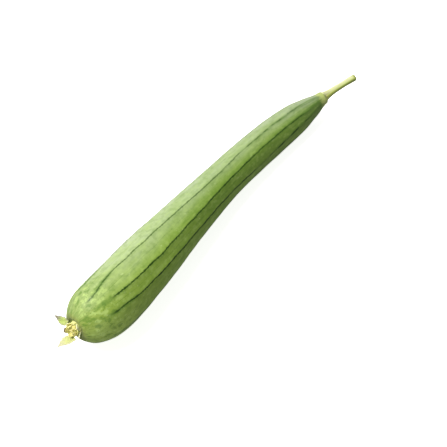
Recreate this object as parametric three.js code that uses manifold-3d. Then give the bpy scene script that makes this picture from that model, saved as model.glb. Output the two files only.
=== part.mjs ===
// A sponge gourd (smooth luffa) as picked: the fruit, its cut stem, and the dried calyx with the
// shrivelled flower at the blossom end. Millimetres, +Z up. The gourd lies on Z = 0 with its stem
// towards +X and its blossom end towards -X, and the origin is under the middle of its bounding box.
import * as THREE from "three";
import { mergeVertices } from "three/addons/utils/BufferGeometryUtils.js";
import Module from "manifold-3d";

const wasm = await Module();
wasm.setup();

// ---------------------------------------------------------------- driving dimensions

const FRUIT_LENGTH = 364; // blossom scar to stem joint, along the fruit's own axis
const FRUIT_RADIUS = 27.4; // at the thickest place
const STEM_LENGTH = 43;
const STEM_RADIUS = 2.95; // at its waist
const SCAR_RADIUS = 6.8; // the shallow hollow that the calyx sits in
const SCAR_DEPTH = 2;
const CALYX_RADIUS = 6.2; // the rim of the calyx cup
const CALYX_DEPTH = 6.5;
const GAP = 0.3; // between pieces that grew together, so that no two solids touch

// Outline of the fruit: how far along its length, and the radius as a share of FRUIT_RADIUS.
const OUTLINE = [
  [0.0, 0.36],
  [0.005, 0.51],
  [0.03, 0.782],
  [0.075, 0.945],
  [0.145, 1.0],
  [0.25, 0.946],
  [0.42, 0.79],
  [0.6, 0.675],
  [0.78, 0.642],
  [0.88, 0.568],
  [0.94, 0.427],
  [0.98, 0.293],
  [1.0, 0.25],
];

// The fruit's gentle bow, as [distance along X, offset to the left of the stem, lift].
const BOW = [
  [0, 0, 0],
  [20, -2.7, 0],
  [40, -3.4, 0],
  [90, 0.5, 0],
  [140, 5, 0],
  [190, 8.5, 0],
  [240, 9.9, 0],
  [290, 8.9, 0],
  [320, 6.4, 1],
  [345, 3, 2.8],
  [364, 0, 5],
];

// The two places where the fruit touches the ground, as a share of its length. Its axis runs
// straight between them, and sinks by REST_DEPTH so that each has a small flat patch.
const REST_PLACES = [0.15, 0.8];
const REST_DEPTH = 0.35;

// The shallow ribs that run lengthwise, as degrees round the fruit from its top. The skin between
// two neighbouring ribs is flatter than a circle by RIB_FLATNESS.
const RIB_ANGLES = [2, 39, 72, 103, 131, 163, 198, 235, 277, 317];
const RIB_FLATNESS = 0.75;

const FRUIT_SIDES = 60;
const FRUIT_RINGS = 44;
const STEM_SIDES = 20;
const STEM_RINGS = 16;
const STEM_RIBS = 5;
const CUP_SIDES = 30;

const COLOURS = {
  skin: new THREE.MeshStandardMaterial({ color: 0x7f9f4a, roughness: 0.5 }),
  stalk: new THREE.MeshStandardMaterial({ color: 0xb4c068, roughness: 0.6 }),
  calyx: new THREE.MeshStandardMaterial({ color: 0xcdcf86, roughness: 0.8 }),
  petal: new THREE.MeshStandardMaterial({ color: 0xd2bd78, roughness: 0.9 }),
};

// ---------------------------------------------------------------- shared helpers

// Radius of the fruit at a share of its length, before the ribs.
const outlineCurve = new THREE.SplineCurve(
  OUTLINE.map(([share, radius]) => new THREE.Vector2(share, radius)),
);
const outlinePoints = outlineCurve.getPoints(FRUIT_RINGS);

function fruitRadius(share) {
  const next = outlinePoints.findIndex((p) => p.x >= share);
  if (next <= 0) return outlinePoints[0].y * FRUIT_RADIUS;
  const a = outlinePoints[next - 1];
  const b = outlinePoints[next];
  const between = (share - a.x) / (b.x - a.x);
  return (a.y + (b.y - a.y) * between) * FRUIT_RADIUS;
}

// Share of the round radius that is left at an angle, in degrees from the top, because the skin
// flattens between ribs. The flattening fades out towards both ends of the fruit.
function ribShare(degrees, along) {
  const from = RIB_ANGLES[0];
  const turn = ((((degrees - from) % 360) + 360) % 360) + from;
  const upper = RIB_ANGLES.findIndex((angle) => angle > turn);
  const high = upper < 0 ? from + 360 : RIB_ANGLES[upper];
  const low = upper < 0 ? RIB_ANGLES[RIB_ANGLES.length - 1] : RIB_ANGLES[upper - 1];
  const half = (high - low) / 2;
  const place = (turn - (low + high) / 2) / half;
  const dip = 1 - Math.cos(THREE.MathUtils.degToRad(half));
  const { smoothstep } = THREE.MathUtils;
  const fade = smoothstep(along, 0.03, 0.15) * smoothstep(1 - along, 0.01, 0.08);
  return 1 - RIB_FLATNESS * fade * dip * (1 - place * place);
}

// The fruit's axis: bowed sideways, and level enough that the skin rests at both REST_PLACES.
const UNDERSIDE = 180; // degrees from the top
const [restA, restB] = REST_PLACES.map((share) => ({
  x: share * FRUIT_LENGTH,
  z: fruitRadius(share) * ribShare(UNDERSIDE, share) - REST_DEPTH,
}));
const axisHeight = (x) => restA.z + ((restB.z - restA.z) * (x - restA.x)) / (restB.x - restA.x);
const fruitAxis = new THREE.CatmullRomCurve3(
  BOW.map(([x, y, lift]) => new THREE.Vector3(x, y, axisHeight(x) + lift)),
);

// Position and directions at a share along a curve: forward along it, left, and up.
function frameAt(curve, share) {
  const forward = curve.getTangentAt(share);
  const left = new THREE.Vector3(0, 0, 1).cross(forward).normalize();
  return { at: curve.getPointAt(share), forward, left, up: forward.clone().cross(left) };
}

// Bends a geometry that stands along Y from 0 to length so that it follows the curve. shape gives
// the share of the radius that is kept at each angle and share along.
function bendAlong(geometry, curve, length, shape) {
  const position = geometry.getAttribute("position");
  const point = new THREE.Vector3();
  for (let i = 0; i < position.count; i++) {
    point.fromBufferAttribute(position, i);
    const share = THREE.MathUtils.clamp(point.y / length, 0, 1);
    const angle = Math.atan2(point.x, point.z);
    const radius = Math.hypot(point.x, point.z) * shape(THREE.MathUtils.radToDeg(angle), share);
    const { at, left, up } = frameAt(curve, share);
    at.addScaledVector(up, radius * Math.cos(angle)).addScaledVector(left, -radius * Math.sin(angle));
    position.setXYZ(i, at.x, at.y, at.z);
  }
  return geometry;
}

function toSolid(geometry) {
  const bare = new THREE.BufferGeometry();
  bare.setAttribute("position", geometry.getAttribute("position"));
  bare.setIndex(geometry.index);
  const merged = mergeVertices(bare, 1e-3);
  return new wasm.Manifold(
    new wasm.Mesh({
      numProp: 3,
      vertProperties: merged.getAttribute("position").array,
      triVerts: new Uint32Array(merged.index.array),
    }),
  );
}

function fromSolid(solid) {
  const mesh = solid.getMesh();
  const geometry = new THREE.BufferGeometry();
  geometry.setAttribute("position", new THREE.BufferAttribute(mesh.vertProperties, 3));
  geometry.setIndex(new THREE.BufferAttribute(mesh.triVerts, 1));
  return geometry;
}

function piece(name, geometry, material) {
  const mesh = new THREE.Mesh(geometry, material);
  mesh.name = name;
  return mesh;
}

// ---------------------------------------------------------------- fruit

// The fruit is turned from its outline, ribbed, bent along its axis, and cut flat where it rests.
function makeFruit() {
  const side = outlinePoints.map((p) => new THREE.Vector2(p.y * FRUIT_RADIUS, p.x * FRUIT_LENGTH));
  const profile = [
    new THREE.Vector2(0, SCAR_DEPTH),
    new THREE.Vector2(SCAR_RADIUS, SCAR_DEPTH),
    ...side,
    new THREE.Vector2(0, FRUIT_LENGTH),
  ];
  const turned = new THREE.LatheGeometry(profile, FRUIT_SIDES);
  const bent = bendAlong(turned, fruitAxis, FRUIT_LENGTH, ribShare);
  const ground = new THREE.BoxGeometry(2 * FRUIT_LENGTH, 4 * FRUIT_RADIUS, FRUIT_RADIUS);
  ground.translate(FRUIT_LENGTH / 2, 0, -FRUIT_RADIUS / 2);
  return piece("fruit", fromSolid(toSolid(bent).subtract(toSolid(ground))), COLOURS.skin);
}

// ---------------------------------------------------------------- stem

// The stem leaves the fruit in line with its axis and turns a little to the right. It flares where
// it joins the fruit, has five low ribs, and swells a little at its cut end.
const STEM_BEND = [
  [0, 0, 0],
  [0.35, -0.6, 0],
  [0.7, -2.2, 0.2],
  [1, -4, 0.6],
]; // share of its length, aside, lift
const STEM_FLARE = [
  [1.9, 0],
  [1.45, 0.08],
  [1.13, 0.25],
  [1.0, 0.5],
  [1.04, 0.8],
  [1.12, 1],
]; // share of STEM_RADIUS, share of its length
const STEM_RIB_DEPTH = 0.07; // share of its radius
function makeStem() {
  const { at, forward, left, up } = frameAt(fruitAxis, 1);
  const start = at.clone().addScaledVector(forward, GAP);
  const line = new THREE.CatmullRomCurve3(
    STEM_BEND.map(([share, aside, lift]) =>
      start
        .clone()
        .addScaledVector(forward, STEM_LENGTH * share)
        .addScaledVector(left, aside)
        .addScaledVector(up, lift),
    ),
  );
  const flare = new THREE.SplineCurve(
    STEM_FLARE.map(([radius, share]) => new THREE.Vector2(radius * STEM_RADIUS, share * STEM_LENGTH)),
  );
  const side = flare.getPoints(STEM_RINGS);
  const profile = [new THREE.Vector2(0, 0), ...side, new THREE.Vector2(0, STEM_LENGTH)];
  const { degToRad } = THREE.MathUtils;
  const ribs = (degrees) => 1 + STEM_RIB_DEPTH * Math.cos(degToRad(degrees) * STEM_RIBS);
  const turned = new THREE.LatheGeometry(profile, STEM_SIDES);
  return piece("stem", bendAlong(turned, line, STEM_LENGTH, ribs), COLOURS.stalk);
}

// ---------------------------------------------------------------- calyx and flower

// Everything at the blossom end is built upright, with +Y pointing out of the fruit and +Z up,
// and this group then turns it onto the blossom scar.
function blossomGroup() {
  const { at, forward, left, up } = frameAt(fruitAxis, 0);
  const out = forward.clone().negate();
  const group = new THREE.Group();
  group.matrix.makeBasis(left.clone(), out, up);
  group.matrix.setPosition(at.clone().addScaledVector(out, GAP - SCAR_DEPTH));
  group.matrixAutoUpdate = false;
  return group;
}

// As the flower dried it leaned over, up and to one side. Its foot stays on the fruit, and from
// LEAN_HEIGHT on everything is turned by LEAN.
const LEAN = THREE.MathUtils.degToRad(24);
const LEAN_AROUND = THREE.MathUtils.degToRad(331);
const LEAN_HEIGHT = 3.5;
function leaned(geometry) {
  const towards = new THREE.Vector3(Math.sin(LEAN_AROUND), 0, Math.cos(LEAN_AROUND));
  const position = geometry.getAttribute("position");
  const point = new THREE.Vector3();
  for (let i = 0; i < position.count; i++) {
    point.fromBufferAttribute(position, i);
    const height = point.y;
    const aside = point.dot(towards);
    const angle = LEAN * THREE.MathUtils.smoothstep(height, 0, LEAN_HEIGHT);
    point.addScaledVector(towards, height * Math.sin(angle) + aside * (Math.cos(angle) - 1));
    point.y = height * Math.cos(angle) - aside * Math.sin(angle);
    position.setXYZ(i, point.x, point.y, point.z);
  }
  return geometry;
}

// The calyx cup: a short open bell whose foot stands on the fruit.
const CUP_WALL = 1.1;
const CUP_FLOOR = 2.2;
const CUP_SIDE = [
  [0.98, 0],
  [0.94, 0.2],
  [0.82, 0.45],
  [0.86, 0.75],
  [1, 1],
]; // share of CALYX_RADIUS, share of CALYX_DEPTH
function makeCup() {
  const inner = CALYX_RADIUS - CUP_WALL;
  const profile = [
    [0, 0],
    ...CUP_SIDE.map(([radius, height]) => [radius * CALYX_RADIUS, height * CALYX_DEPTH]),
    [inner, CALYX_DEPTH],
    [inner * 0.85, CALYX_DEPTH * 0.7],
    [inner * 0.68, CUP_FLOOR],
    [0, CUP_FLOOR],
  ].map(([radius, height]) => new THREE.Vector2(radius, height));
  return piece("calyx_cup", leaned(new THREE.LatheGeometry(profile, CUP_SIDES)), COLOURS.calyx);
}

// A thin blade, such as a sepal: its root is at the origin and it grows along +Y, tapering to a
// narrow tip. It is cupped across, towards +Z, and curls along its length by curl radians.
function makeBlade({ length, width, thickness, curl, cup, widest = 0.3, tip = 0.12 }) {
  const blade = new THREE.BoxGeometry(1, 1, 1, 4, 8, 1);
  const position = blade.getAttribute("position");
  for (let i = 0; i < position.count; i++) {
    const across = position.getX(i) * 2;
    const along = position.getY(i) + 0.5;
    const grown = along < widest ? 0.72 + 0.28 * Math.sin((along / widest) * (Math.PI / 2)) : 1;
    const tapered = along < widest ? 1 : Math.cos(((along - widest) / (1 - widest)) * (Math.PI / 2));
    const halfWidth = (width / 2) * Math.max(grown * tapered, tip);
    const lift = position.getZ(i) * thickness + cup * across * across * grown * tapered;
    const bend = curl * along;
    const reach = Math.abs(curl) < 1e-6 ? length * along : (length / curl) * Math.sin(bend);
    const rise = Math.abs(curl) < 1e-6 ? 0 : (length / curl) * (1 - Math.cos(bend));
    position.setXYZ(
      i,
      across * halfWidth,
      reach - lift * Math.sin(bend),
      rise + lift * Math.cos(bend),
    );
  }
  return blade;
}

// Stands a blade on a ring round the flower's axis: its root at that radius and height, its tip
// leaning outwards from the axis by lean degrees, and the whole turned round the axis. Before
// that, a twist turns the blade about its own length, and a sweep swings its tip along the ring.
function standOnRing(name, blade, material, place) {
  const { radius, height, lean, around, twist = 0, sweep = 0 } = place;
  blade.rotateY(THREE.MathUtils.degToRad(twist));
  blade.rotateZ(THREE.MathUtils.degToRad(sweep));
  blade.rotateX(THREE.MathUtils.degToRad(lean));
  blade.translate(0, height, radius);
  blade.rotateY(THREE.MathUtils.degToRad(around));
  return piece(name, leaned(blade), material);
}

// Five sepals on the outside of the rim. Dried, each has gone its own way.
const SEPALS = [
  { around: 72, length: 11.5, width: 6.6, lean: 72, curl: 0.25, twist: 32 },
  { around: 122, length: 4.5, width: 5, lean: 8, curl: -0.5, twist: 0 },
  { around: 200, length: 15, width: 12.5, lean: 12, curl: 0.25, twist: 0, sweep: 28 },
  { around: 262, length: 4.5, width: 5, lean: 40, curl: -0.5, twist: 0 },
  { around: 318, length: 4.5, width: 5.4, lean: 30, curl: -0.6, twist: 0 },
];
const SEPAL_RADIUS = CALYX_RADIUS + 0.8;
const SEPAL_HEIGHT = CALYX_DEPTH - 1.2;

function makeSepals() {
  return SEPALS.map(({ length, width, curl, ...turns }, i) => {
    const blade = makeBlade({ length, width, curl, thickness: 0.9, cup: -0.5 });
    const place = { radius: SEPAL_RADIUS, height: SEPAL_HEIGHT, ...turns };
    return standOnRing(`sepal_${i + 1}`, blade, COLOURS.calyx, place);
  });
}

// Five shrivelled petals inside the rim, folded over the flower's middle.
const PETALS = [
  { around: 44, length: 5, lean: 8, curl: -0.5 },
  { around: 116, length: 5.5, lean: 12, curl: -0.4 },
  { around: 188, length: 6, lean: 14, curl: -0.5 },
  { around: 260, length: 5.5, lean: 10, curl: -0.5 },
  { around: 332, length: 4.5, lean: 8, curl: -0.5 },
];
const PETAL_SHAPE = { width: 3.6, thickness: 0.6, cup: -0.35, widest: 0.5, tip: 0.3 };
const PETAL_RADIUS = CALYX_RADIUS - CUP_WALL - 1.2;
const PETAL_HEIGHT = CALYX_DEPTH - 1.6;

function makePetals() {
  return PETALS.map(({ length, curl, ...turns }, i) => {
    const blade = makeBlade({ ...PETAL_SHAPE, length, curl });
    const place = { radius: PETAL_RADIUS, height: PETAL_HEIGHT, ...turns };
    return standOnRing(`petal_${i + 1}`, blade, COLOURS.petal, place);
  });
}

// The stump of the style, with the three lobes of its stigma, on the floor of the cup.
const STYLE_HEIGHT = 5.5;
function makeStyle() {
  const profile = [
    [0, 0],
    [1.3, 0],
    [1.0, 0.45],
    [1.15, 0.7],
    [1.5, 0.88],
    [1.1, 1],
    [0, 1],
  ].map(([radius, share]) => new THREE.Vector2(radius, share * STYLE_HEIGHT));
  const stump = new THREE.LatheGeometry(profile, 18);
  const position = stump.getAttribute("position");
  for (let i = 0; i < position.count; i++) {
    const share = position.getY(i) / STYLE_HEIGHT;
    const angle = Math.atan2(position.getX(i), position.getZ(i));
    const lobe = 1 + 0.22 * share * Math.cos(3 * angle);
    position.setX(i, position.getX(i) * lobe);
    position.setZ(i, position.getZ(i) * lobe);
  }
  stump.translate(0, CUP_FLOOR + GAP, 0);
  return piece("style_stump", leaned(stump), COLOURS.petal);
}

// ---------------------------------------------------------------- assembly

const gourd = new THREE.Group();
const blossom = blossomGroup();
blossom.add(makeCup(), ...makeSepals(), ...makePetals(), makeStyle());
gourd.add(makeFruit(), makeStem(), blossom);
gourd.updateMatrixWorld(true);

// The origin goes under the middle of the gourd.
const box = new THREE.Box3().setFromObject(gourd, true);
const middle = box.getCenter(new THREE.Vector3());
gourd.position.set(-middle.x, -middle.y, 0);

export default gourd;
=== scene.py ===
# %% [markdown]
# # A sponge gourd, just picked
# This script dresses one smooth sponge gourd: a long green fruit with fine dark lines along it, a
# short cut stem, and at the other end the dried calyx with what is left of the flower. The packed
# model holds the true sizes and the place of each piece. Here every piece gets its real surface:
# first the studio, then the fruit, the stem, and last the small dry parts at the blossom end.
# All lengths are in metres, +X runs from the blossom end to the stem, and +Z is up.

# %% Load the frame
import math

import bmesh
import bpy
from mathutils import Matrix, Vector, noise


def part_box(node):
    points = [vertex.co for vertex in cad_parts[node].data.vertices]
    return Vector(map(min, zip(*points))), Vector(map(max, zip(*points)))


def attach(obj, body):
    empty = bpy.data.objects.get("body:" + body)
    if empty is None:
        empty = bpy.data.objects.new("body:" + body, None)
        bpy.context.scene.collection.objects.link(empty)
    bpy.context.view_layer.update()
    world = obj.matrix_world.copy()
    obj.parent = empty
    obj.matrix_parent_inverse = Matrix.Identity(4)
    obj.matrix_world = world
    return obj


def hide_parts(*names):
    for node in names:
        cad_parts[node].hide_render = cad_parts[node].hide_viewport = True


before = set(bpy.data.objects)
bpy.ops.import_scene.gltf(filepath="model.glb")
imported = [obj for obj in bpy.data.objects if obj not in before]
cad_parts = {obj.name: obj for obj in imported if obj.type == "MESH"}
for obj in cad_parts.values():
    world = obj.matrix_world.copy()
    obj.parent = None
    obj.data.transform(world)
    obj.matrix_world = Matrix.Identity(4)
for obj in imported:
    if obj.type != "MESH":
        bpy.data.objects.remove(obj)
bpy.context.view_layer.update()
MM = 0.001

# %% [markdown]
# ## The camera
# A long lens from a little under a metre keeps the far end of the fruit nearly as large as the near
# end. The gourd lies flat, so the camera looks down at it steeply and crosswise, over the blossom
# end. A camera looks along its own -Z, so its turn is worked out from the direction it looks back
# along.

# %% Camera
CAMERA_AZIMUTH = math.radians(-53.1)
CAMERA_ELEVATION = math.radians(48)
CAMERA_DISTANCE = 0.9245
CAMERA_LENS = 85
LOOK_AT = Vector((-0.0322, -0.0273, 0.03))


def outward(azimuth, elevation):
    """The direction from the gourd to something seen at these angles."""
    level = math.cos(elevation)
    return Vector((math.sin(azimuth) * level, -math.cos(azimuth) * level, math.sin(elevation)))


def place_camera():
    lens = bpy.data.cameras.new("camera")
    lens.lens = CAMERA_LENS
    lens.sensor_width = 36
    camera = bpy.data.objects.new("camera", lens)
    back = outward(CAMERA_AZIMUTH, CAMERA_ELEVATION)
    camera.location = LOOK_AT + back * CAMERA_DISTANCE
    camera.rotation_euler = (-back).to_track_quat("-Z", "Y").to_euler()
    bpy.context.collection.objects.link(camera)
    bpy.context.scene.camera = camera
    return camera


camera = place_camera()
print("camera at", [round(c, 3) for c in camera.location])

# %% [markdown]
# ## Colours by name
# Paint charts and colour pickers give a colour as six letters and digits, but a shader works in
# light, which is not the same scale. One helper turns the first into the second, so that every
# colour below can be read off a chart.


# %% Colour helper
def paint(code):
    """A colour written as RRGGBB, as the four numbers that a shader takes."""
    parts = [int(code[i : i + 2], 16) / 255 for i in (0, 2, 4)]
    light = [p / 12.92 if p <= 0.04045 else ((p + 0.055) / 1.055) ** 2.4 for p in parts]
    return (*light, 1.0)


print("mid green skin:", [round(c, 3) for c in paint("8FB555")])

# %% [markdown]
# ## The studio
# The floor is one pale sheet, so large that its edge is lost in the distance. It glows a little,
# which keeps the gourd's shadow faint, but it throws no light on the skin.
#
# Three soft sources light the gourd. The key is high on the far left, so the far side of the fruit
# is bright and its near side falls into shade, which is what shows its roundness. A weak one behind
# brightens the far edge, and a low one in front reaches the blossom end. A white surrounding fills
# the shadows.

# %% Floor
FLOOR_HALF = 30.0


def make_floor():
    grid = bmesh.new()
    bmesh.ops.create_grid(grid, x_segments=1, y_segments=1, size=FLOOR_HALF)
    mesh = bpy.data.meshes.new("floor")
    grid.to_mesh(mesh)
    grid.free()
    floor = bpy.data.objects.new("floor", mesh)
    bpy.context.collection.objects.link(floor)
    sheet = bpy.data.materials.new("pale_sheet")
    sheet.use_nodes = True
    shader = sheet.node_tree.nodes["Principled BSDF"]
    shader.inputs["Base Color"].default_value = paint("F7F7F4")
    shader.inputs["Emission Color"].default_value = paint("FFFFFF")
    shader.inputs["Emission Strength"].default_value = 0.8
    shader.inputs["Roughness"].default_value = 0.9
    shader.inputs["Specular IOR Level"].default_value = 0.1
    mesh.materials.append(sheet)
    floor.visible_diffuse = False  # the skin is neither lit by the floor
    floor.visible_glossy = False  # nor mirrors it
    return floor


floor = make_floor()
print("floor is", 2 * FLOOR_HALF, "m across")


# %% Lights
def soft_light(name, azimuth, elevation, distance, size, watts, colour):
    """A round soft source that shines on the gourd from these angles, in degrees."""
    source = bpy.data.lights.new(name, "AREA")
    source.shape = "DISK"
    source.size = size
    source.energy = watts
    source.color = paint(colour)[:3]
    light = bpy.data.objects.new(name, source)
    light.visible_camera = False  # it lights the gourd, but is never seen itself
    back = outward(math.radians(azimuth), math.radians(elevation))
    light.location = LOOK_AT + back * distance
    light.rotation_euler = (-back).to_track_quat("-Z", "Y").to_euler()
    bpy.context.collection.objects.link(light)
    return light


soft_light("key", azimuth=-134, elevation=59, distance=1.6, size=0.8, watts=35, colour="FFFCF4")
soft_light("back", azimuth=-175, elevation=22, distance=2.0, size=1.4, watts=6, colour="FFFFFF")
soft_light("end", azimuth=-42, elevation=2, distance=1.3, size=0.7, watts=6.5, colour="FFFFFF")


# %% World
def make_world():
    """A white surrounding that is bright to look at, but only a weak light on the gourd."""
    world = bpy.data.worlds.new("studio")
    bpy.context.scene.world = world
    world.use_nodes = True
    nodes, links = world.node_tree.nodes, world.node_tree.links
    sky = nodes["Background"]
    sky.inputs["Color"].default_value = paint("FFFFFF")
    looked_at = nodes.new("ShaderNodeLightPath").outputs["Is Camera Ray"]
    strength = nodes.new("ShaderNodeMapRange")
    strength.inputs["To Min"].default_value = 0.22
    strength.inputs["To Max"].default_value = 1.0
    links.new(looked_at, strength.inputs["Value"])
    links.new(strength.outputs[0], sky.inputs["Strength"])
    return world


world = make_world()
bpy.context.scene.view_settings.view_transform = "Standard"
print("world nodes:", len(world.node_tree.nodes))

# %% [markdown]
# ## The fruit's own measures
# The fruit grew round an axis that is nearly straight, so two short tables describe it: its outline,
# and how the axis bows. Both are smooth, so a curve is drawn through a few points of each. The
# outline is the fruit's radius at a place along it. The bow is how far the axis runs to the left of
# a straight line, seen towards the stem, and how far above it.

# %% Outline and bow
LENGTH = 364 * MM
RADIUS = 27.4 * MM
SCAR_RADIUS = 6.8 * MM
SCAR_DEPTH = 2 * MM
OUTLINE = [  # share of the length, share of the radius
    (0.0, 0.36),
    (0.005, 0.51),
    (0.03, 0.782),
    (0.075, 0.945),
    (0.145, 1.0),
    (0.25, 0.946),
    (0.42, 0.79),
    (0.6, 0.675),
    (0.78, 0.642),
    (0.88, 0.568),
    (0.94, 0.427),
    (0.98, 0.293),
    (1.0, 0.25),
]
BOW = [  # along, aside, lift, in millimetres
    (0, 0, 0),
    (20, -2.7, 0),
    (40, -3.4, 0),
    (90, 0.5, 0),
    (140, 5, 0),
    (190, 8.5, 0),
    (240, 9.9, 0),
    (290, 8.9, 0),
    (320, 6.4, 1),
    (345, 3, 2.8),
    (364, 0, 5),
]


def smooth_line(points, steps):
    """Points on a smooth line through the given ones, with so many steps to each stretch."""
    points = [Vector(p) for p in points]
    points = [2 * points[0] - points[1], *points, 2 * points[-1] - points[-2]]
    line = []
    for a, b, c, d in zip(points, points[1:], points[2:], points[3:]):
        for i in range(steps):
            t = i / steps
            square = (2 * a - 5 * b + 4 * c - d) * t**2
            cube = (3 * b - a - 3 * c + d) * t**3
            line.append((2 * b + (c - a) * t + square + cube) / 2)
    return [*line, points[-2]]


def lookup(table, x):
    """The other values of a smooth table at x, its first value."""
    for low, high in zip(table, table[1:]):
        if x <= high[0]:
            break
    span = high[0] - low[0]
    share = min(max((x - low[0]) / span, 0), 1) if span else 0
    return low.lerp(high, share)


outline_line = smooth_line([(x * LENGTH, r * RADIUS) for x, r in OUTLINE], steps=24)
bow_line = smooth_line([Vector(row) * MM for row in BOW], steps=24)
print("radius at mid length, mm:", round(lookup(outline_line, LENGTH / 2)[1] / MM, 2))

# %% [markdown]
# ## The axis
# The bow table gives where the axis runs. Its height comes from how the fruit rests: the skin
# touches the ground at two places, one under the belly and one under the neck, and the axis runs
# straight between them. At each place along it, three directions are needed to build a slice of
# the fruit: forward along the axis, left, and up.

# %% Axis
RIBS = [2, 39, 72, 103, 131, 163, 198, 235, 277, 317]  # degrees round the fruit from its top
RIB_FLATNESS = 0.75
REST_PLACES = (0.15, 0.8)
REST_DEPTH = 0.35 * MM


def ramp(low, high, x):
    """0 below low, 1 above high, and a soft rise between."""
    t = min(max((x - low) / (high - low), 0), 1)
    return t * t * (3 - 2 * t)


def sector(degrees):
    """The two ribs that an angle lies between, each as its number and its angle."""
    turn = (degrees - RIBS[0]) % 360 + RIBS[0]
    number = max(i for i, rib in enumerate(RIBS) if rib <= turn)
    after = (number + 1) % len(RIBS)
    return turn, number, RIBS[number], after, RIBS[after] if after else RIBS[0] + 360


def flattened(share_across, half_angle, along):
    """How much of the round radius is left between two ribs, 0 and 1 being the ribs."""
    fade = ramp(0.03, 0.15, along) * ramp(0.01, 0.08, 1 - along)
    place = 2 * share_across - 1
    return 1 - RIB_FLATNESS * fade * (1 - math.cos(half_angle)) * (1 - place * place)


def resting_height(along):
    """How high the axis must run here for the skin to rest on the ground, a little pressed in."""
    turn, _, low, _, high = sector(180)
    half = math.radians(high - low) / 2
    share = (turn - low) / (high - low)
    radius = lookup(outline_line, along * LENGTH)[1]
    return radius * flattened(share, half, along) - REST_DEPTH


def axis_point(x):
    """Where the axis runs at this place along the fruit."""
    belly, neck = REST_PLACES
    share = (x / LENGTH - belly) / (neck - belly)
    height = resting_height(belly) * (1 - share) + resting_height(neck) * share
    bow = lookup(bow_line, x)
    return Vector((x, bow[1], height + bow[2]))


def axis_frame(x):
    """The axis point at x, and the directions forward, left and up there."""
    step = 2 * MM
    low, high = max(x - step, 0), min(x + step, LENGTH)
    forward = (axis_point(high) - axis_point(low)).normalized()
    left = Vector((0, 0, 1)).cross(forward).normalized()
    return axis_point(x), forward, left, forward.cross(left)


print("axis at the neck, mm:", [round(c / MM, 1) for c in axis_point(REST_PLACES[1] * LENGTH)])

# %% [markdown]
# ## The fruit's surface
# A fruit like this is nearly a turned shape, so a spin of its outline gives an even mesh with
# closed ends. Three things then make it a gourd. The slices follow the bowed axis. Between two
# ribs the skin is flatter than a circle, and at each rib a fine furrow runs along the fruit,
# wavering a little. Last come the slight swellings of a thing that grew.

# %% Fruit outline
RING_STEP = 1.25 * MM
SCAR_SIDE = [(1, 0), (1, 0.6), (0.75, 1), (0.15, 1.25)]  # share of its depth, share of its radius
SHOULDER = [(0.1, 5), (0, 2.5), (0, 0)]  # how far past the end, radius, in millimetres


def evenly(line, step):
    """The same line with its points one step apart, and its first and last point kept."""
    result = [line[0]]
    walked = 0.0
    for a, b in zip(line, line[1:]):
        walked += (b - a).length
        if walked >= step:
            result.append(b)
            walked = 0.0
    result[-1] = line[-1]
    return result


def fruit_outline():
    """From the middle of the blossom scar, over its rim, and along the side to the stem."""
    scar = [(depth * SCAR_DEPTH, r * SCAR_RADIUS) for depth, r in SCAR_SIDE]
    scar = smooth_line([*scar, tuple(outline_line[0])], steps=12)
    fine = smooth_line([(x * LENGTH, r * RADIUS) for x, r in OUTLINE], steps=60)
    shoulder = [(LENGTH + past * MM, r * MM) for past, r in SHOULDER]
    shoulder = smooth_line([tuple(fine[-1]), *shoulder], steps=8)
    return [*evenly([*scar, *fine[1:]], RING_STEP), *evenly(shoulder, RING_STEP)[1:]]


profile = fruit_outline()
print("fruit outline has", len(profile), "points")

# %% [markdown]
# ## Ribs and their lines
# No rib of a real gourd is straight. The three on the near upper side follow courses of their own,
# and the others wander by slow noise. A quicker tremble is added to all of them. Each rib's dark
# line starts a little way from the blossom scar, stops before the stem, and breaks into dashes on
# the stem half, some more than others.

# %% Ribs that waver
COURSES = {  # the ribs on the near upper side: share of the length, degrees round the fruit
    0: [(0, 4), (0.05, 1), (0.12, -7), (0.22, -3.5), (0.35, 0.5), (0.5, 7), (0.65, 4.5), (0.8, 3), (1, 5)],
    1: [(0, 22), (0.06, 27), (0.12, 32), (0.2, 37), (0.3, 40), (0.5, 41.5), (0.75, 38), (1, 40)],
    2: [(0, 50), (0.1, 54.5), (0.17, 61), (0.35, 68), (0.52, 72), (0.67, 78), (0.78, 73), (1, 58)],
}
COURSES = {number: smooth_line(course, steps=12) for number, course in COURSES.items()}
WANDER = 6.0  # degrees
TREMBLE = 1.7


def waver(number, along):
    """How far a rib strays from its straight course, in degrees."""
    slow = noise.noise(Vector((along * 5.0, number * 7.3, 0.0)))
    quick = noise.noise(Vector((along * 26.0, number * 5.1, 4.0)))
    if number in COURSES:
        return lookup(COURSES[number], along)[1] - RIBS[number] + TREMBLE * quick
    return WANDER * slow + TREMBLE * quick


print("rib 1 strays at mid length by, degrees:", round(waver(1, 0.5), 2))

# %% Where the lines show
LINE_STARTS = {0: 0.03, 1: 0.07, 2: 0.055}  # share of the length, for the near ribs
LINE_STRENGTHS = {0: 0.75, 1: 1.0, 2: 1.0}
USUAL_START = 0.07
USUAL_STRENGTH = 0.85
BREAKS = [0.9, 0.15, 0.85, 0.5, 0.4, 0.5, 0.4, 0.5, 0.4, 0.6]  # how much each line breaks up


def line_strength(number, along):
    """How strongly a rib's dark line shows. It starts late, ends early, and may break up."""
    start = LINE_STARTS.get(number, USUAL_START)
    end = 0.93 + 0.03 * noise.noise(Vector((number * 2.9, 2.0, 0.0)))
    shown = ramp(start, start * 1.4, along) * ramp(1 - end, 1 - end + 0.06, 1 - along)
    broken = ramp(0.45, 0.75, along) * BREAKS[number]
    dash = ramp(-0.18, 0.12, noise.noise(Vector((along * 34.0, number * 9.1, 8.0))))
    uneven = ramp(-0.3, 0.2, noise.noise(Vector((along * 75.0, number * 3.7, 1.0))))
    usual = LINE_STRENGTHS.get(number, USUAL_STRENGTH)
    return shown * (1 - broken * (1 - dash)) * (0.8 + 0.2 * uneven) * usual


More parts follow.
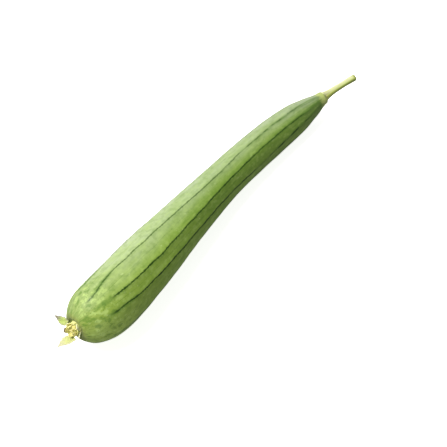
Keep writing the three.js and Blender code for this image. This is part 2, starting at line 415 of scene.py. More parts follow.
print("line 1 at mid length:", round(line_strength(1, 0.5), 2))

# %% [markdown]
# ## Spinning and naming a piece
# The fruit, the stem, the cup and the style are all nearly turned shapes. One helper spins an
# outline about the X axis, merges the doubled points where it closes, and turns every face
# outwards. A second one makes an object of any finished shape and says which part of the model it
# stands for.


# %% Helpers for every piece
def spin_profile(points, sides):
    """A closed surface turned about the X axis from points of (along, radius)."""
    turned = bmesh.new()
    verts = [turned.verts.new((x, 0, radius)) for x, radius in points]
    edges = [turned.edges.new(pair) for pair in zip(verts, verts[1:])]
    bmesh.ops.spin(
        turned,
        geom=[*verts, *edges],
        cent=(0, 0, 0),
        axis=(1, 0, 0),
        angle=2 * math.pi,
        steps=sides,
        use_merge=True,
    )
    bmesh.ops.remove_doubles(turned, verts=turned.verts, dist=0.001 * MM)
    bmesh.ops.recalc_face_normals(turned, faces=turned.faces)
    return turned


def finish_piece(shape, name, slot, *nodes):
    """Turns a bmesh into a smooth, named object that stands for its nodes of the model."""
    mesh = bpy.data.meshes.new(name)
    shape.to_mesh(mesh)
    shape.free()
    mesh.shade_smooth()
    piece = bpy.data.objects.new(name, mesh)
    bpy.context.collection.objects.link(piece)
    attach(piece, "root")
    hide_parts(*nodes)
    print(name, "has", len(mesh.polygons), "faces")
    return piece


# %% [markdown]
# ## Relief of the skin
# The skin is not quite even. Slow waves run over it, finer lumps lie on them, and round the
# blossom end it is a little warty. Noise at three sizes gives those. Each rib's line lies in a
# shallow furrow, which is cut with a bell curve.

# %% Relief of the skin
FURROW_DEPTH = 0.3 * MM
FURROW_WIDTH = 0.5 * MM
WARTY_SHARE = 0.16  # the warts round the blossom end reach this share of the length


def swelling(grown, along):
    """How far the skin stands out or in: slow waves, finer lumps, and warts at the blossom end."""
    slow = noise.noise(grown * 22) * 0.45
    lumps = noise.noise(grown * 90) * 0.16
    warts = noise.noise(grown * 240) * 0.14 * ramp(WARTY_SHARE, 0.02, along)
    return (slow + lumps + warts) * MM


def furrow(gap, strength, along):
    """How deep the skin dips at this distance from a rib. Furrows fade out at both ends."""
    depth = FURROW_DEPTH * math.exp(-((gap / FURROW_WIDTH) ** 2)) * (0.35 + 0.65 * strength)
    return depth * ramp(0.02, 0.1, along) * ramp(0, 0.06, 1 - along)


print("furrow of a strong line, mm:", round(furrow(0, 1, 0.5) / MM, 2))

# %% [markdown]
# ## The fruit's mesh
# A furrow is only a millimetre wide, so the spun points are first crowded towards the ribs. Each
# point also remembers where it would be on a straight, even fruit ("grown"), how far it is from
# the nearest rib ("gap", in millimetres) and how strongly the rib's line shows there ("line").
# The skin's colours are painted with those, so they follow the fruit's growth.

# %% Fruit mesh
SIDES = 288
CROWDING = 0.72
GROWN_RADIUS = 25 * MM
EVEN_RADIUS = 6 * MM  # inside this, in the scar and by the stem, the relief dies away


def rib_place(co, along):
    """For a spun point: its angle, how much radius is left, its rib, and the angle to that rib."""
    turn, number, low, after, high = sector(math.degrees(math.atan2(-co.y, co.z)))
    share = (turn - low) / (high - low)
    share -= CROWDING * math.sin(2 * math.pi * share) / (2 * math.pi)
    flat = flattened(share, math.radians(high - low) / 2, along)
    low += waver(number, along)
    high += waver(after, along)
    angle = math.radians(low + (high - low) * share)
    near, gap_share = (number, share) if share < 0.5 else (after, share - 1)
    return angle, flat, near, gap_share * math.radians(high - low)


def shape_fruit(fruit):
    """Bends a straight spun fruit, gives it its ribs, and lets every point remember its place."""
    grown_layer = fruit.verts.layers.float_vector.new("grown")
    gap_layer = fruit.verts.layers.float.new("gap")
    line_layer = fruit.verts.layers.float.new("line")
    frames = {}
    for vert in fruit.verts:
        x, radius = vert.co.x, math.hypot(vert.co.y, vert.co.z)
        along = min(max(x / LENGTH, 0), 1)
        ring = round(x / MM, 3)
        if ring not in frames:
            frames[ring] = axis_frame(min(x, LENGTH))
        at, forward, left, up = frames[ring]
        angle, flat, near, gap = rib_place(vert.co, along)
        gap *= radius
        strength = line_strength(near, along)
        grown = Vector((x, -math.sin(angle) * GROWN_RADIUS, math.cos(angle) * GROWN_RADIUS))
        relief = (swelling(grown, along) - furrow(gap, strength, along)) * ramp(0, EVEN_RADIUS, radius)
        kept = radius * flat + relief
        vert.co = at + up * (kept * math.cos(angle)) - left * (kept * math.sin(angle))
        vert.co += forward * (x - min(x, LENGTH))
        vert.co.z = max(vert.co.z, 0)
        vert[grown_layer] = grown
        vert[gap_layer] = gap / MM
        vert[line_layer] = strength


fruit_shape = spin_profile(profile, SIDES)
shape_fruit(fruit_shape)
print("fruit has", len(fruit_shape.verts), "points")


# %% Place the fruit
def place_like(shape, node):
    """Moves a shape, without turning it, so that it is centred like the node of the model."""
    low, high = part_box(node)
    xs = [v.co.x for v in shape.verts]
    ys = [v.co.y for v in shape.verts]
    middle = (low + high) / 2
    shift = Vector((middle.x - (min(xs) + max(xs)) / 2, middle.y - (min(ys) + max(ys)) / 2, 0))
    bmesh.ops.translate(shape, verts=shape.verts, vec=shift)
    return shift


to_frame = place_like(fruit_shape, "fruit")
print("fruit moved by, mm:", [round(c / MM, 2) for c in to_frame])
fruit = finish_piece(fruit_shape, "fruit", "skin", "fruit")

# %% [markdown]
# ## Shader building
# Every finish below is a small graph of shader nodes. A few helpers keep the recipes short: one
# adds a node and wires its inputs, and the others are the steps that come back again and again,
# such as fading between two colours or keeping only the part of a pattern above some level.


# %% Shader helpers
class Finish:
    """One material and the nodes that make it."""

    def __init__(self, name):
        self.material = bpy.data.materials.new(name)
        self.material.use_nodes = True
        self.tree = self.material.node_tree
        self.shader = self.tree.nodes["Principled BSDF"]

    def wire(self, value, socket):
        if isinstance(value, bpy.types.NodeSocket):
            self.tree.links.new(value, socket)
        else:
            socket.default_value = value

    def node(self, kind, inputs, **settings):
        made = self.tree.nodes.new("ShaderNode" + kind)
        for setting, value in settings.items():
            setattr(made, setting, value)
        for place, value in inputs.items():
            self.wire(value, made.inputs[place])
        return made

    def surface(self, **inputs):
        for place, value in inputs.items():
            self.wire(value, self.shader.inputs[place.replace("_", " ")])

    def attribute(self, name):
        return self.node("Attribute", {}, attribute_name=name)

    def math(self, operation, a, b=0.0):
        return self.node("Math", {0: a, 1: b}, operation=operation).outputs[0]

    def times(self, a, b):
        return self.math("MULTIPLY", a, b)

    def stretched(self, vector, x, y, z):
        return self.node("VectorMath", {0: vector, 1: (x, y, z)}, operation="MULTIPLY").outputs[0]

    def facing(self, grown, direction, radius):
        """1 where a piece of this radius faces the direction, and -1 where it faces away."""
        towards = self.node("VectorMath", {0: grown, 1: direction}, operation="DOT_PRODUCT")
        return self.math("DIVIDE", towards.outputs["Value"], radius)

    def cloud(self, vector, scale, detail=3.0, rough=0.55):
        """Soft random values round 0.5."""
        inputs = {"Vector": vector, "Scale": scale, "Detail": detail, "Roughness": rough}
        return self.node("TexNoise", inputs).outputs[0]

    def spots(self, vector, scale, spread=1.0):
        """The distance to the nearest of many scattered points."""
        inputs = {"Vector": vector, "Scale": scale, "Randomness": spread}
        return self.node("TexVoronoi", inputs).outputs["Distance"]

    def fade(self, value, low, high, start=0.0, end=1.0):
        """A soft change from start to end while the value goes from low to high."""
        inputs = {"Value": value, "From Min": low, "From Max": high, "To Min": start, "To Max": end}
        return self.node("MapRange", inputs, interpolation_type="SMOOTHSTEP").outputs[0]

    def scale_of(self, value, *stops):
        """A colour scale: each stop is a place from 0 to 1 and a colour."""
        made = self.node("ValToRGB", {"Fac": value})
        elements = made.color_ramp.elements
        elements[0].position, elements[0].color = stops[0][0], paint(stops[0][1])
        elements[1].position, elements[1].color = stops[-1][0], paint(stops[-1][1])
        for place, code in stops[1:-1]:
            elements.new(place).color = paint(code)
        return made.outputs[0]

    def mixed(self, share, low, high):
        """The first colour, with a share of the second over it."""
        made = self.node("Mix", {}, data_type="RGBA")
        self.wire(share, made.inputs[0])
        self.wire(low, made.inputs[6])
        self.wire(paint(high) if isinstance(high, str) else high, made.inputs[7])
        return made.outputs[2]

    def relief(self, height, distance, strength):
        """Fine unevenness that only the light sees. The distance is its height in metres."""
        inputs = {"Height": height, "Distance": distance, "Strength": strength}
        self.wire(self.node("Bump", inputs).outputs[0], self.shader.inputs["Normal"])


print("helpers of a finish:", [n for n in vars(Finish) if not n.startswith("_")])

# %% [markdown]
# ## What the skin's patterns know
# Every pattern on the skin depends on where it is: how far along the fruit, how far from a rib, and
# which way the skin faces there. The mesh carries that with it, so it is read once, in one place.
# Two directions matter, both for painted light: the side that faces the key light, where painted
# sheen goes, and the near side turned away from it, where painted shade goes.


# %% Places on the skin
class Skin(Finish):
    """The skin's material, with what its patterns need to know about a place on the fruit."""

    def __init__(self, name):
        super().__init__(name)
        self.grown = self.attribute("grown").outputs["Vector"]
        self.gap = self.math("ABSOLUTE", self.attribute("gap").outputs["Fac"])
        self.line = self.attribute("line").outputs["Fac"]
        split = self.node("SeparateXYZ", {0: self.grown})
        self.along = self.math("DIVIDE", split.outputs[0], LENGTH)
        # Directions for painted light and shade: the near side in shade, and the side facing the key
        # light.
        self.shaded_side = self.facing(self.grown, (0, -0.78, 0.62), GROWN_RADIUS)
        self.lit_side = self.facing(self.grown, (0, 0.5, 0.87), GROWN_RADIUS)
        self.near_blossom = self.fade(self.along, 0.15, 0.0)
        self.streaks = self.cloud(self.stretched(self.grown, 0.12, 1, 1), 420, detail=4.0)
        self.patchy = self.cloud(self.grown, 90)


skin = Skin("gourd_skin")
print("skin starts with", len(skin.tree.nodes), "nodes")

# %% [markdown]
# ## Ground colour
# The skin is a waxy mid green, yellower at the blossom end and deeper towards the stem. Fine dark
# and pale streaks run along it, because the fruit stretched as it grew, and large soft blotches lie
# over them. Noise gives both. It is squeezed along the fruit, so its patches come out long and thin.


# %% Ground colour
def ground_colour(skin):
    colour = skin.scale_of(
        skin.along,
        (0.0, "8FA24A"),
        (0.05, "89A443"),
        (0.15, "8AA841"),
        (0.3, "88A93F"),
        (0.5, "81A33A"),
        (0.8, "809F40"),
        (0.94, "7A984A"),
        (1.0, "708C49"),
    )
    colour = skin.mixed(skin.fade(skin.streaks, 0.5, 0.72, 0, 0.35), colour, "5E8228")
    colour = skin.mixed(skin.fade(skin.streaks, 0.48, 0.3, 0, 0.25), colour, "A9C470")
    blotches = skin.cloud(skin.stretched(skin.grown, 0.35, 1, 1), 75)
    return skin.mixed(skin.fade(blotches, 0.5, 0.75, 0, 0.35), colour, "6C9130")


skin_colour = ground_colour(skin)
print("nodes with the ground colour:", len(skin.tree.nodes))

# %% [markdown]
# ## Painted sheen and painted shade
# A pale veil of painted sheen lies on the side of the skin that faces the key light. It is left off
# the near side, which is in shade, and it is patchy everywhere, thin at the blossom end and thickest
# by the stem. Each of those is one factor, and they are multiplied. The near side gets painted shade,
# a deeper green, and round the blossom end the underside is painted paler, as light from below, and
# the top a little darker, as painted shade.


# %% Painted sheen
def with_painted_sheen(skin, colour):
    # Painted sheen: a pale veil on the side facing the key light and none on the shaded near side. It is
    # patchy, thin at the blossom end and thickest by the stem.
    sheen_mask = skin.scale_of(
        skin.shaded_side,
        (0.0, "B7B7B7"),
        (0.4, "9C9C9C"),
        (0.65, "929292"),
        (0.82, "747474"),
        (1.0, "000000"),
    )
    sheen_patches = skin.cloud(skin.stretched(skin.grown, 0.3, 1, 1), 130, detail=5.0)
    sheen_mask = skin.times(sheen_mask, skin.fade(skin.lit_side, 0.0, 0.75))
    sheen_mask = skin.times(sheen_mask, skin.fade(sheen_patches, 0.3, 0.7, 0.75, 1.2))
    sheen_mask = skin.times(sheen_mask, skin.fade(skin.along, 0.0, 0.2, 0.45, 1))
    sheen_mask = skin.times(sheen_mask, skin.fade(skin.along, 0.75, 0.95, 1, 1.35))
    return skin.mixed(sheen_mask, colour, "CED6C6")


def with_painted_shade_and_light(skin, colour):
    # Painted shade: a deeper green on the near side, turned away from the key light, from a fifth of the
    # way along.
    deep = skin.times(skin.fade(skin.shaded_side, 0.86, 0.98, 0, 0.38), skin.fade(skin.along, 0.22, 0.5))
    colour = skin.mixed(deep, colour, "587C24")
    # Painted light: round the blossom end the underside is painted paler, as light thrown up from below.
    below = skin.times(skin.fade(skin.lit_side, 0.25, -0.45, 0, 0.5), skin.fade(skin.along, 0.2, 0.03))
    colour = skin.mixed(below, colour, "B4D068")
    # Painted shade: round the blossom end the top facing the light is painted a little darker.
    above = skin.times(skin.fade(skin.lit_side, 0.35, 0.85, 0, 0.35), skin.near_blossom)
    return skin.mixed(above, colour, "6F8C36")


skin_colour = with_painted_shade_and_light(skin, with_painted_sheen(skin, skin_colour))
print("nodes with the bloom:", len(skin.tree.nodes))

# %% [markdown]
# ## Flecks
# Pale flecks a few millimetres apart are strewn over the skin, and softer light and dark mottling
# lies between them. Both are strongest round the blossom end, where small dark specks join them.
# Scattered points make the flecks and the specks, and noise makes the mottling.


# %% Flecks
def with_flecks(skin, colour):
    """The colour with its flecks, and where the pale ones are."""
    flecks = skin.spots(skin.stretched(skin.grown, 0.6, 1, 1), 430)
    pale = skin.times(skin.fade(flecks, 0.32, 0.1), skin.fade(skin.patchy, 0.45, 0.7, 0, 0.6))
    colour = skin.mixed(pale, colour, "C0D492")
    mottle = skin.cloud(skin.stretched(skin.grown, 0.9, 1, 1), 215, detail=2.0)
    strength = skin.fade(skin.near_blossom, 0.0, 0.8, 0.35, 1.0)
    lighter = skin.times(skin.fade(mottle, 0.52, 0.66), strength)
    colour = skin.mixed(skin.times(lighter, 0.5), colour, "BCD67E")
    darker = skin.times(skin.fade(mottle, 0.48, 0.34), strength)
    colour = skin.mixed(skin.times(darker, 0.65), colour, "587C28")
    dark = skin.times(skin.fade(skin.spots(skin.grown, 520), 0.3, 0.14), skin.near_blossom)
    return skin.mixed(skin.times(dark, 0.7), colour, "5B7A2C"), pale


skin_colour, pale_flecks = with_flecks(skin, skin_colour)
print("nodes with the flecks:", len(skin.tree.nodes))

# %% [markdown]
# ## Rib lines
# Each rib is a thin, dark green line in its furrow. Its edges are not sharp, so a little noise is
# added to the distance from the rib before the line is cut out of it. A faint smudge of darker green
# runs along both sides, and it is stronger near the two ends of the fruit.


# %% Rib lines
def with_lines(skin, colour):
    shaky = skin.math("ADD", skin.gap, skin.fade(skin.cloud(skin.grown, 560), 0.3, 0.7, -0.34, 0.34))
    core = skin.times(skin.fade(shaky, 0.84, 0.5), skin.line)
    near_ends = skin.math("MAXIMUM", skin.fade(skin.along, 0.17, 0.09), skin.fade(skin.along, 0.6, 0.85))
    near_ends = skin.times(near_ends, skin.fade(skin.along, 0.035, 0.07))
    band = skin.times(skin.fade(shaky, 3.0, 0.6), skin.fade(skin.streaks, 0.3, 0.6, 0.3, 1))
    smudge = skin.times(band, skin.fade(near_ends, 0, 1, 0.14, 0.7))
    colour = skin.mixed(smudge, colour, "557A2A")
    return skin.mixed(core, colour, "2A4A06")


skin_colour = with_lines(skin, skin_colour)
print("nodes with the rib lines:", len(skin.tree.nodes))

# %% [markdown]
# ## The two ends, and the gloss
# The skin is straw-brown where it turns in to the blossom scar, and a pale yellow-green ring with a
# ragged edge shows where the stem joins. The wax makes the skin satin, not shiny, so its roughness
# is near a half. A weak sheen stands for the fuzz of the bloom, which brightens the far edge from
# wherever it is seen. The streaks and flecks stand out by a fraction of a millimetre.


# %% Ends and gloss
def with_ends(skin, colour):
    colour = skin.mixed(skin.fade(skin.along, 0.006, 0.0, 0, 0.6), colour, "8C9450")
    ragged = skin.math("ADD", skin.along, skin.fade(skin.cloud(skin.grown, 260), 0.3, 0.7, -0.005, 0.005))
    return skin.mixed(skin.fade(ragged, 0.97, 0.986, 0, 0.72), colour, "C8D480")


skin.surface(Base_Color=with_ends(skin, skin_colour))
skin.surface(Roughness=skin.fade(skin.patchy, 0.3, 0.7, 0.42, 0.56), Specular_IOR_Level=0.3)
skin.surface(Sheen_Weight=0.16, Sheen_Roughness=0.35, Sheen_Tint=paint("F2F6F0"))
skin.relief(skin.mixed(pale_flecks, skin.streaks, (0.7, 0.7, 0.7, 1)), 0.25 * MM, 0.5)
fruit.data.materials.append(skin.material)
print("skin nodes:", len(skin.tree.nodes))

# %% [markdown]
# ## The stem
# A cut length of the vine's fruit stalk. It is fleshy, five-ridged and a little bent, flares into
# the fruit with a ragged, pale green ring, and ends where the knife went through. It is spun like
# the fruit, ridged, and bent along its own line.

# %% Stem
STEM_LENGTH = 43 * MM
STEM_RADIUS = 2.95 * MM
STEM_SUNK = 0.5 * MM  # how deep its base sits in the fruit, so that no gap shows
STEM_BEND = [  # share of its length, aside, lift, in millimetres
    (0, 0, 0),
    (0.35, -0.6, 0),
    (0.7, -2.2, 0.2),
    (1, -4, 0.6),
]
STEM_FLARE = [  # share of its length, share of its radius
    (0, 2.25),
    (0.04, 1.9),
    (0.1, 1.6),
    (0.2, 1.3),
    (0.4, 1.08),
    (0.6, 1.0),
    (0.8, 1.03),
    (1, 1.1),
]
stem_line = smooth_line([(s, aside * MM, lift * MM) for s, aside, lift in STEM_BEND], steps=12)


def stem_frame(share):
    """The middle of the stem at a share of its length, and forward, left and up there."""
    at, forward, left, up = axis_frame(LENGTH)
    bend = lookup(stem_line, share)
    ahead = lookup(stem_line, min(share + 0.02, 1)) - lookup(stem_line, max(share - 0.02, 0))
    start = at - forward * STEM_SUNK
    point = start + forward * STEM_LENGTH * share + left * bend[1] + up * bend[2]
    along = (forward * STEM_LENGTH * ahead[0] + left * ahead[1] + up * ahead[2]).normalized()
    side = Vector((0, 0, 1)).cross(along).normalized()
    return point, along, side, along.cross(side)


# %% Stem mesh
STEM_CUT = [(0.25, 0.2), (0.35, 0.6), (0.1, 1.4)]  # its rolled edge: further out, further in, mm


def make_stem_shape():
    side = smooth_line([(s * STEM_LENGTH, r * STEM_RADIUS) for s, r in STEM_FLARE], steps=24)
    side = evenly(side, step=0.4 * MM)
    end = STEM_RADIUS * STEM_FLARE[-1][1]
    cut = [Vector((STEM_LENGTH + out * MM, end - inside * MM)) for out, inside in STEM_CUT]
    points = [Vector((0, 0)), *side, *cut, Vector((STEM_LENGTH, 0))]
    stem = spin_profile(points, sides=80)
    layer = stem.verts.layers.float_vector.new("grown")
    for vert in stem.verts:
        share = min(vert.co.x / STEM_LENGTH, 1)
        radius = math.hypot(vert.co.y, vert.co.z)
        angle = math.atan2(-vert.co.y, vert.co.z)
        point, along, left, up = stem_frame(share)
        cosine, sine = math.cos(angle), math.sin(angle)
        vert[layer] = Vector((vert.co.x, -sine * STEM_RADIUS, cosine * STEM_RADIUS))
        ridge = 0.1 * math.cos(5 * angle + 0.6 * share) + 0.025 * math.cos(15 * angle)
        ridge += 0.05 * noise.noise(Vector((vert.co.x * 120, cosine, sine)))
        radius *= 1 + ridge
        over = max(vert.co.x - STEM_LENGTH, 0)
        vert.co = point + along * over + up * (radius * cosine) - left * (radius * sine)
    return stem


stem_shape = make_stem_shape()
bmesh.ops.translate(stem_shape, verts=stem_shape.verts, vec=to_frame)
stem = finish_piece(stem_shape, "stem", "stalk", "stem")

# %% [markdown]
# ## The stem's finish
# The stem is a pale yellow-green, painted lighter on top and darker underneath as painted light and
# shade, with fine green fibres along it. At the cut it has dried to brown.


# %% Stem finish
def make_stalk():
    stalk = Finish("gourd_stem")
    grown = stalk.attribute("grown").outputs["Vector"]
    split = stalk.node("SeparateXYZ", {0: grown})
    along = stalk.math("DIVIDE", split.outputs[0], STEM_LENGTH)
    colour = stalk.scale_of(
        along,
        (0.0, "E6E8A0"),
        (0.06, "D0D66C"),
        (0.3, "CCD878"),
        (0.7, "C6D47C"),
        (0.96, "BAC670"),
        (1.0, "8B9148"),
    )
    streaks = stalk.cloud(stalk.stretched(grown, 0.06, 1, 1), 1500)
    colour = stalk.mixed(stalk.fade(streaks, 0.5, 0.7, 0, 0.45), colour, "8FA04A")
    # Painted shade: the underside of the stem is painted darker.
    shady = stalk.facing(grown, (0, -0.85, -0.5), STEM_RADIUS)
    colour = stalk.mixed(stalk.fade(shady, 0.05, 0.6, 0, 0.65), colour, "74862F")
    # Painted light: the top of the stem is painted paler, up to just before the cut.
    lit_side = stalk.facing(grown, (0, 0.2, 0.98), STEM_RADIUS)
    painted_top_light = stalk.times(stalk.fade(lit_side, 0.4, 1.0, 0, 0.75), stalk.fade(along, 1.0, 0.9))
    colour = stalk.mixed(painted_top_light, colour, "F2F4C4")
    stalk.surface(Base_Color=colour, Roughness=0.5, Specular_IOR_Level=0.4)
    stalk.relief(streaks, 0.2 * MM, 0.6)
    return stalk.material


stem.data.materials.append(make_stalk())
print("stem finish:", stem.data.materials[0].name)

# %% [markdown]
# ## The blossom end
# The flower withered on the fruit. What is left is a short cup, five sepals on its rim, a crumple
# of petals inside and the stump of the style. All of it is built standing on the scar, with X
# pointing out of the fruit, and then leaned over, because the dried flower has tipped up and to
# one side: its foot is still square on the fruit, and a few millimetres up everything is turned.

# %% Blossom frame
GAP = 0.3 * MM
CALYX_RADIUS = 6.2 * MM
CALYX_DEPTH = 6.5 * MM
LEAN = math.radians(24)
LEAN_AROUND = math.radians(331)
LEAN_HEIGHT = 3.5 * MM

scar_point, scar_forward, scar_left, scar_up = axis_frame(0)
scar_out = -scar_forward
scar_place = scar_point + scar_out * (GAP - SCAR_DEPTH) + to_frame


def stand_on_scar(shape):
    """Takes a shape from (out, left, up) round the scar to its place on the fruit."""
    towards = Vector((0, math.sin(LEAN_AROUND), math.cos(LEAN_AROUND)))
    for vert in shape.verts:
        height = vert.co.x
        aside = vert.co.dot(towards)
        angle = LEAN * ramp(0, LEAN_HEIGHT, height)
        vert.co += towards * (height * math.sin(angle) + aside * (math.cos(angle) - 1))
        vert.co.x = height * math.cos(angle) - aside * math.sin(angle)
        x, y, z = vert.co
        vert.co = scar_place + scar_out * x + scar_left * y + scar_up * z
    bmesh.ops.recalc_face_normals(shape, faces=shape.faces)


print("scar at, mm:", [round(c / MM, 1) for c in scar_place])

# %% [markdown]
# ## The calyx cup
# A short bell, spun from its outline, with a waist above its foot and a rim that opens again. Ten
# veins run up it. As it dried it shrank unevenly, so its rim waves and its side is dented.


# %% Calyx cup
CUP_WALL = 1.0 * MM
CUP_FLOOR = 2.2 * MM
CUP_LIP = 0.3 * MM
CUP_SIDE = [(0, 0.98), (0.2, 0.94), (0.45, 0.82), (0.75, 0.86), (1, 1)]  # share up, share of radius
CUP_WAVE = 0.55 * MM


def make_cup_shape():
    inner = CALYX_RADIUS - CUP_WALL
    foot = [Vector((0, r * CALYX_RADIUS)) for r in (0, 0.5, 0.9)]
    outside = smooth_line([(h * CALYX_DEPTH, r * CALYX_RADIUS) for h, r in CUP_SIDE], steps=8)
    lip = Vector((CALYX_DEPTH + CUP_LIP, CALYX_RADIUS - CUP_WALL / 2))
    inside = [(CALYX_DEPTH, inner), (CALYX_DEPTH * 0.7, inner * 0.85), (CUP_FLOOR, inner * 0.68)]
    well = [Vector((CUP_FLOOR, inner * r)) for r in (0.4, 0.15, 0)]
    inside = smooth_line(inside, steps=8)
    cup = spin_profile([*foot, *outside, lip, *inside, *well], sides=120)
    layer = cup.verts.layers.float_vector.new("grown")
    for vert in cup.verts:
        height = vert.co.x / CALYX_DEPTH
        angle = math.atan2(vert.co.y, vert.co.z)
        vert[layer] = vert.co.copy()
        veins = 0.035 * math.cos(10 * angle) * ramp(0.1, 0.5, height)
        dents = 0.09 * noise.noise(vert.co * 260) * ramp(0.1, 0.4, height)
        vert.co.y *= 1 + veins + dents
        vert.co.z *= 1 + veins + dents
        round_the_rim = Vector((math.cos(angle), math.sin(angle), 5)) * 2.2
        wave = 0.5 * math.cos(5 * angle - 0.8) + 0.7 * noise.noise(round_the_rim)
        vert.co.x += wave * ramp(0.6, 1, height) * CUP_WAVE
    return cup


cup_shape = make_cup_shape()
print("calyx cup has", len(cup_shape.verts), "points")

# %% [markdown]
# ## Sepals, petals and style
# A sepal or a petal is a thin blade. Each starts as a flat grid, takes the outline of a leaf, is
# cupped across and curled along its length, and is then crumpled with fine noise, because it has
# dried. Thickness comes last. Every blade keeps its own "grown" place, across and along, so that
# its colours can run from its root to its tip and its veins along it.


# %% Blades
def make_blade(length, width, thickness, curl, cup, crumple, seed, widest=0.3, tip=0.12):
    """A dried blade along X. Curl is in radians, and cup and crumple are heights."""
    blade = bmesh.new()
    bmesh.ops.create_grid(blade, x_segments=16, y_segments=30, size=1)
    layer = blade.verts.layers.float_vector.new("grown")
    for vert in blade.verts:
        across, along = vert.co.x, (vert.co.y + 1) / 2
        vert[layer] = Vector((along, across, seed))
        if along < widest:
            share = 0.72 + 0.28 * math.sin(along / widest * math.pi / 2)
        else:
            share = math.cos((along - widest) / (1 - widest) * math.pi / 2)
        ragged = 1 + 0.22 * noise.noise(Vector((along * 9, 3 * (across > 0), seed)))
        half = width / 2 * max(share * ragged, tip)
        folds = math.sin(across * 5.5 + 3 * noise.noise(Vector((along * 2, 0, seed))))
        lift = cup * across * across * share + crumple * 0.4 * folds * share
        lift += crumple * noise.noise(Vector((along * 6, across * 2.4, seed + 3)))
        bend = curl * along
        reach = length / curl * math.sin(bend)
        rise = length / curl * (1 - math.cos(bend))
        vert.co = Vector((reach - lift * math.sin(bend), across * half, rise + lift * math.cos(bend)))
    bmesh.ops.recalc_face_normals(blade, faces=blade.faces)
    bmesh.ops.solidify(blade, geom=blade.faces[:], thickness=thickness)
    bmesh.ops.recalc_face_normals(blade, faces=blade.faces)
    return blade


def stand_on_ring(blade, radius, height, around, lean, twist=0.0, sweep=0.0):
    """Puts a blade, which grows along X, on a ring round the flower, leaning outwards."""
    turn = Matrix.Rotation(math.radians(-twist), 3, "X")
    turn = Matrix.Rotation(math.radians(-sweep), 3, "Z") @ turn
    turn = Matrix.Rotation(math.radians(-lean), 3, "Y") @ turn
    cosine, sine = math.cos(math.radians(around)), math.sin(math.radians(around))
    for vert in blade.verts:
        out, side, rise = turn @ vert.co
        rise += radius
        vert.co = Vector((out + height, rise * sine + side * cosine, rise * cosine - side * sine))


# %% Sepals and petals
SEPAL_RADIUS = CALYX_RADIUS + 0.8 * MM
SEPAL_HEIGHT = CALYX_DEPTH - 1.2 * MM
SEPAL_THICKNESS = 0.45 * MM
SEPALS = [  # around, length, width, lean, curl, twist, sweep
    (72, 11.5, 6.6, 72, 0.25, 32, 0),
    (122, 4.5, 5, 8, -0.5, 0, 0),
    (200, 15, 12.5, 12, 0.25, 0, 28),
    (262, 4.5, 5, 40, -0.5, 0, 0),
    (318, 4.5, 5.4, 30, -0.6, 0, 0),
]
PETAL_RADIUS = CALYX_RADIUS - 2.3 * MM
PETAL_HEIGHT = CALYX_DEPTH - 1.6 * MM
PETAL_WIDTH = 4.2 * MM
PETAL_THICKNESS = 0.3 * MM
PETALS = [  # around, length, lean, curl
    (44, 5, 8, -0.5),
    (116, 5.5, 12, -0.4),
    (188, 6, 14, -0.5),
    (260, 5.5, 10, -0.5),
    (332, 4.5, 8, -0.5),
]


def make_sepal_shape(number):
    around, length, width, lean, curl, twist, sweep = SEPALS[number]
    size = (length * MM, width * MM, SEPAL_THICKNESS)
    blade = make_blade(*size, curl, cup=-0.5 * MM, crumple=0.45 * MM, seed=number * 3.1)
    stand_on_ring(blade, SEPAL_RADIUS, SEPAL_HEIGHT, around, lean, twist, sweep)
    return blade


def make_petal_shape(number):
    around, length, lean, curl = PETALS[number]
    size = (length * MM, PETAL_WIDTH, PETAL_THICKNESS)
    seed = 20 + number * 2.3
    blade = make_blade(*size, curl, cup=-0.35 * MM, crumple=0.4 * MM, seed=seed, widest=0.5, tip=0.3)
    stand_on_ring(blade, PETAL_RADIUS, PETAL_HEIGHT, around, lean)
    return blade


print("blades to make:", len(SEPALS), "sepals and", len(PETALS), "petals")


# %% Style
STYLE_HEIGHT = 5.5 * MM
STYLE_SIDE = [  # share of its height, radius in millimetres
    (0, 1.3),
    (0.2, 1.1),
    (0.45, 1.0),
    (0.7, 1.15),
    (0.88, 1.5),
    (0.97, 1.2),
    (1, 0.5),
    (1, 0),
]


def make_style_shape():
    line = smooth_line([(h * STYLE_HEIGHT, r * MM) for h, r in STYLE_SIDE], steps=5)
    style = spin_profile([Vector((0, 0)), *line], sides=48)
    layer = style.verts.layers.float_vector.new("grown")
    for vert in style.verts:
        share = vert.co.x / STYLE_HEIGHT
        angle = math.atan2(vert.co.y, vert.co.z)
        vert[layer] = Vector((share, angle / math.pi, 0.5))
        lobe = 1 + 0.24 * share * math.cos(3 * angle) + 0.1 * noise.noise(vert.co * 900)
        vert.co.y *= lobe
        vert.co.z *= lobe
        vert.co.x += CUP_FLOOR + GAP
    return style


print("style stands from", round((CUP_FLOOR + GAP) / MM, 1), "mm above the scar")

# %% [markdown]
# ## Setting the flower on the scar
# All twelve pieces stand round one axis, so the same lean carries them together, and none slides
# against its neighbour. The cup and the sepals are drying green tissue, and the petals and the
# style are straw, which is why they are in two groups of colour.


# %% Build the blossom end
def blossom_piece(shape, name, slot):
    stand_on_scar(shape)
    return finish_piece(shape, name, slot, name)


cup = blossom_piece(cup_shape, "calyx_cup", "calyx")
sepals = [blossom_piece(make_sepal_shape(i), f"sepal_{i + 1}", "calyx") for i in range(len(SEPALS))]
petals = [blossom_piece(make_petal_shape(i), f"petal_{i + 1}", "petal") for i in range(len(PETALS))]
style = blossom_piece(make_style_shape(), "style_stump", "petal")
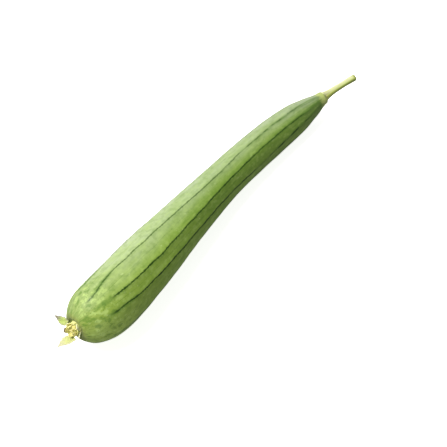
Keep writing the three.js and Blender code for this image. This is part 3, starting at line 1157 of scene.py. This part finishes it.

# %% [markdown]
# ## Dried green and straw
# The sepals dried unevenly. One is still green, with a grey tip. A broad one and two short ones
# are pale, and one has gone brown. Their edges dry first, so each sepal has another colour there.
# The cup is yellow-green and straw, with browner soft patches. The petals are paper-thin and straw
# yellow, with brown creases.


# %% Blossom finishes
def make_leafy(name, root, middle, tip, edge):
    """A drying leaf: three colours from root to tip, another at its edges, and fine veins."""
    leaf = Finish(name)
    grown = leaf.attribute("grown").outputs["Vector"]
    split = leaf.node("SeparateXYZ", {0: grown})
    along = leaf.math("ADD", split.outputs[0], leaf.fade(leaf.cloud(grown, 5), 0.3, 0.7, -0.12, 0.12))
    colour = leaf.scale_of(along, (0.0, root), (0.45, middle), (0.8, tip), (1.0, tip))
    veins = leaf.cloud(leaf.stretched(grown, 0.6, 9, 1), 3.0, detail=3)
    colour = leaf.mixed(leaf.fade(veins, 0.5, 0.7, 0, 0.4), colour, "8E8C4C")
    across = leaf.math("ABSOLUTE", split.outputs[1])
    colour = leaf.mixed(leaf.fade(across, 0.5, 1.0, 0, 0.7), colour, edge)
    leaf.surface(Base_Color=colour, Roughness=0.7, Specular_IOR_Level=0.25)
    leaf.relief(veins, 0.2 * MM, 0.6)
    return leaf.material


def make_straw(name, light, dark, patch_brown, scale):
    """Dried flesh: straw colours in soft patches, with brown in other patches."""
    straw = Finish(name)
    grown = straw.attribute("grown").outputs["Vector"]
    patches = straw.cloud(grown, scale, detail=4)
    colour = straw.mixed(straw.fade(patches, 0.42, 0.62), paint(light), dark)
    creases = straw.cloud(grown, scale * 2.1, detail=2)
    colour = straw.mixed(straw.fade(creases, 0.54, 0.68, 0, 0.85), colour, patch_brown)
    straw.surface(Base_Color=colour, Roughness=0.75, Specular_IOR_Level=0.25)
    straw.relief(patches, 0.3 * MM, 0.7)
    return straw.material


cup.data.materials.append(make_straw("calyx_straw", "E6E6A0", "D6DA86", "BDB468", 260))
green_sepal = make_leafy("sepal_green", "CBD588", "B0C66A", "8D897C", "B7B69C")
pale_sepal = make_leafy("sepal_pale", "D6DC8C", "D3DD94", "EEEAC8", "F1F0D4")
broad_sepal = make_leafy("sepal_broad", "BDC47C", "C6CC88", "C6C4A2", "CDCCAC")
brown_sepal = make_leafy("sepal_brown", "C9C888", "9A8468", "7C6A60", "94806C")
for sepal, finish in zip(sepals, (green_sepal, brown_sepal, broad_sepal, pale_sepal, pale_sepal)):
    sepal.data.materials.append(finish)
petal_straw = make_straw("petal_straw", "F0ECA6", "E2DA86", "BFA858", 3.2)
for petal in (*petals, style):
    petal.data.materials.append(petal_straw)
print("finishes:", sorted({piece.data.materials[0].name for piece in (cup, *sepals, *petals, style)}))
